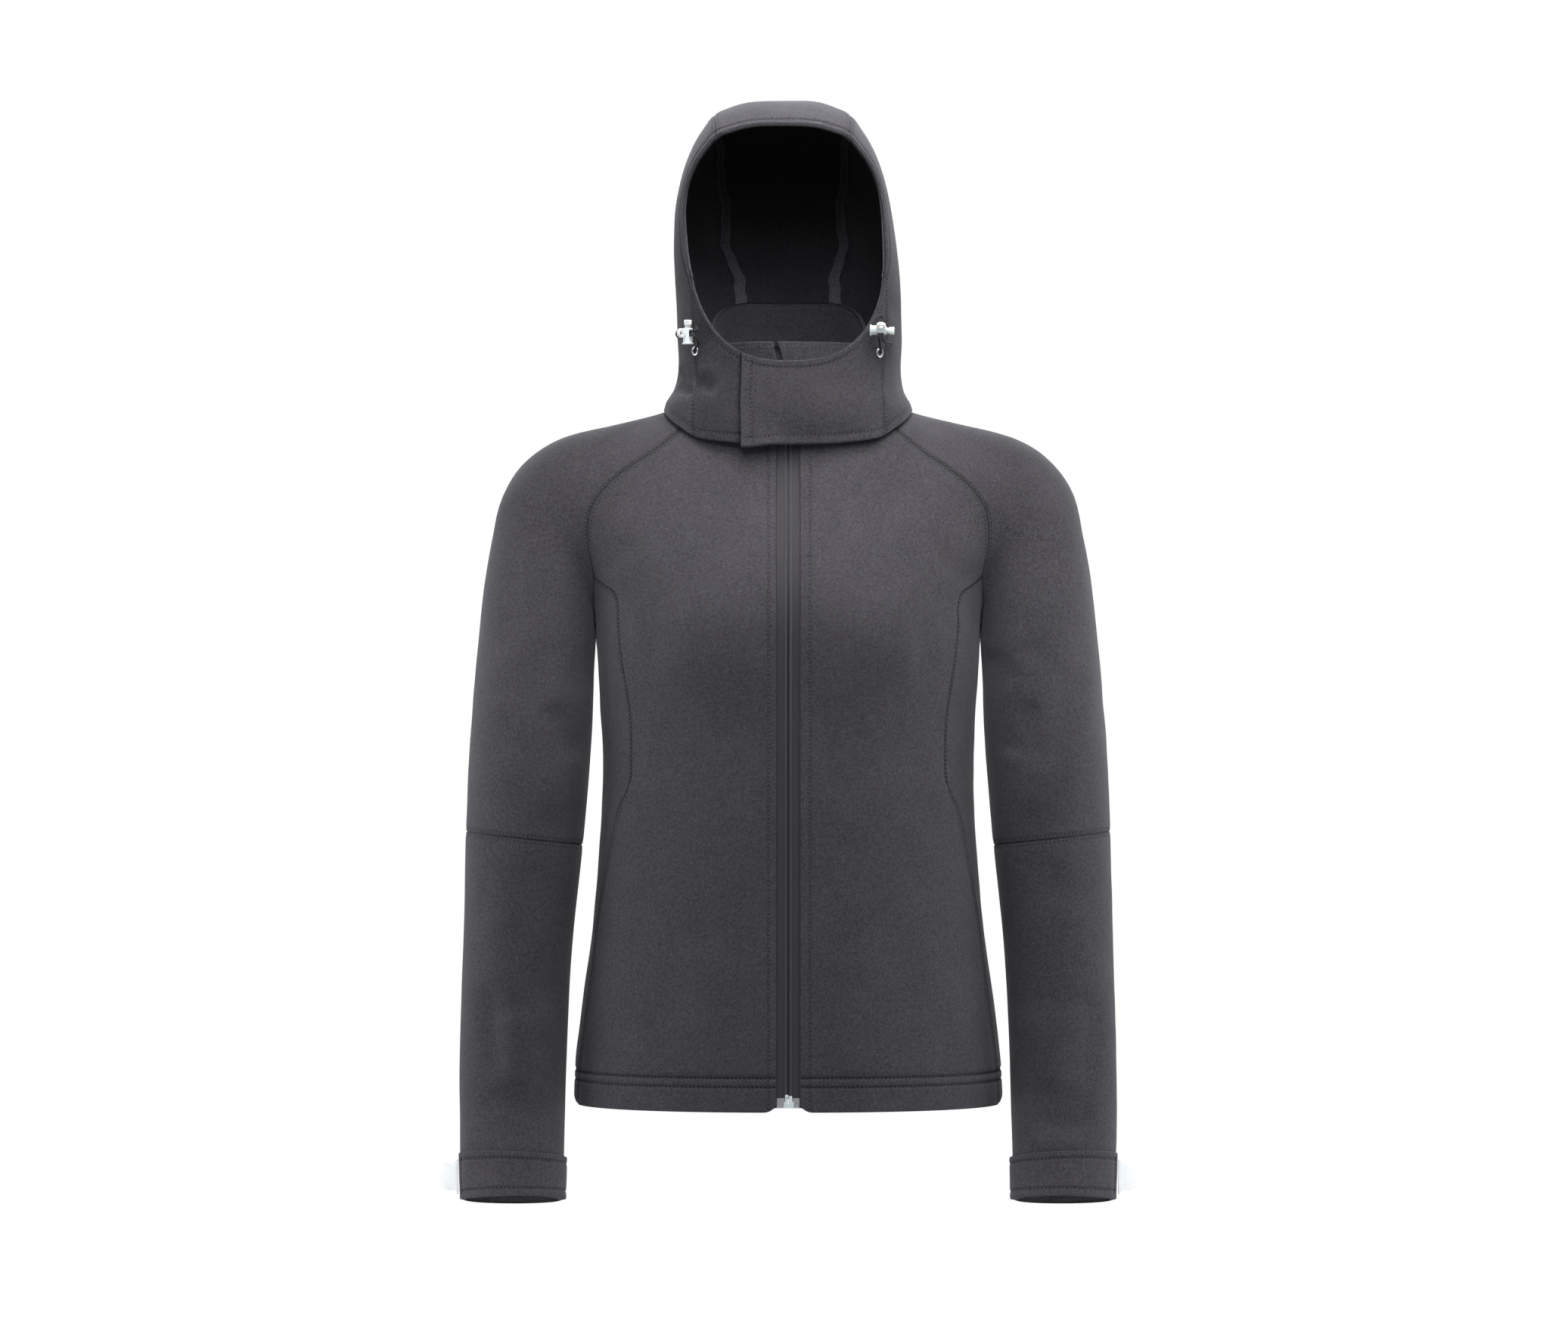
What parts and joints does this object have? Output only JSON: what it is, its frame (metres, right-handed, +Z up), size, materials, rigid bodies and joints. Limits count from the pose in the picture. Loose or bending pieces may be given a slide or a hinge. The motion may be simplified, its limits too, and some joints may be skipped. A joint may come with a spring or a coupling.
{
  "type": "softshell jacket",
  "caption": "Women's hooded softshell jacket, filled out, with raglan sleeves, princess seams, front zip, chin flap, cuff straps and corded hood.",
  "frame": {"origin": "on the centre line at the height where the shoulders carry the jacket, midway between front and back", "axes": "+Z up along the height, +X towards the wearer's left sleeve, -Y out of the zipped front"},
  "size_m": [0.6196, 0.2438, 0.9917],
  "materials": {
    "shell": "matt brushed softshell, charcoal grey",
    "lining": "matt fleece back and seam tape, dark grey",
    "zip": "woven tape with a moulded coil, dark grey",
    "clear_plastic": "glossy, clear to milky white",
    "metal": "polished nickel",
    "elastic": "braided elastic, black"
  },
  "bodies": {
    "jacket": {"front_left": "shell", "front_right": "shell", "side_left": "shell", "side_right": "shell", "back": "shell", "sleeve_upper_left": "shell", "sleeve_upper_right": "shell", "sleeve_lower_left": "shell", "sleeve_lower_right": "shell", "cuff_strap_left": "shell", "cuff_strap_right": "shell", "cuff_grip_left": "clear_plastic", "cuff_grip_right": "clear_plastic", "collar": "shell", "hood_strip": "shell", "hood_side_left": "shell", "hood_side_right": "shell", "chin_flap": "shell", "chin_underlap": "shell", "hood_tape_left": "lining", "hood_tape_right": "lining", "zip_tape_left": "zip", "zip_tape_right": "zip", "zip_chain": "zip", "zip_box": "zip", "zip_slider": "metal", "cord_lock_left": "clear_plastic", "eyelet_left": "metal", "drawcord_left": "elastic", "cord_lock_right": "clear_plastic", "eyelet_right": "metal", "drawcord_right": "elastic"},
    "zip_pull": {"zip_pull": "metal"},
    "plunger_left": {"lock_plunger_left": "clear_plastic"},
    "plunger_right": {"lock_plunger_right": "clear_plastic"}
  },
  "joints": [
    {"name": "pull_swing", "type": "hinge", "parent": "jacket", "child": "zip_pull", "pos_m": [0, -0.0716, 0.03], "axis": [-1, 0, 0], "range_deg": [0, 35]},
    {"name": "plunger_left_press", "type": "slide", "parent": "jacket", "child": "plunger_left", "axis": [0.9996, 0, -0.03], "range_m": [-0.0025, 0], "stiffness_N_per_m": 150, "springref_m": 0.002},
    {"name": "plunger_right_press", "type": "slide", "parent": "jacket", "child": "plunger_right", "axis": [0, 0, 1], "range_m": [-0.0025, 0], "stiffness_N_per_m": 150, "springref_m": 0.002}
  ]
}
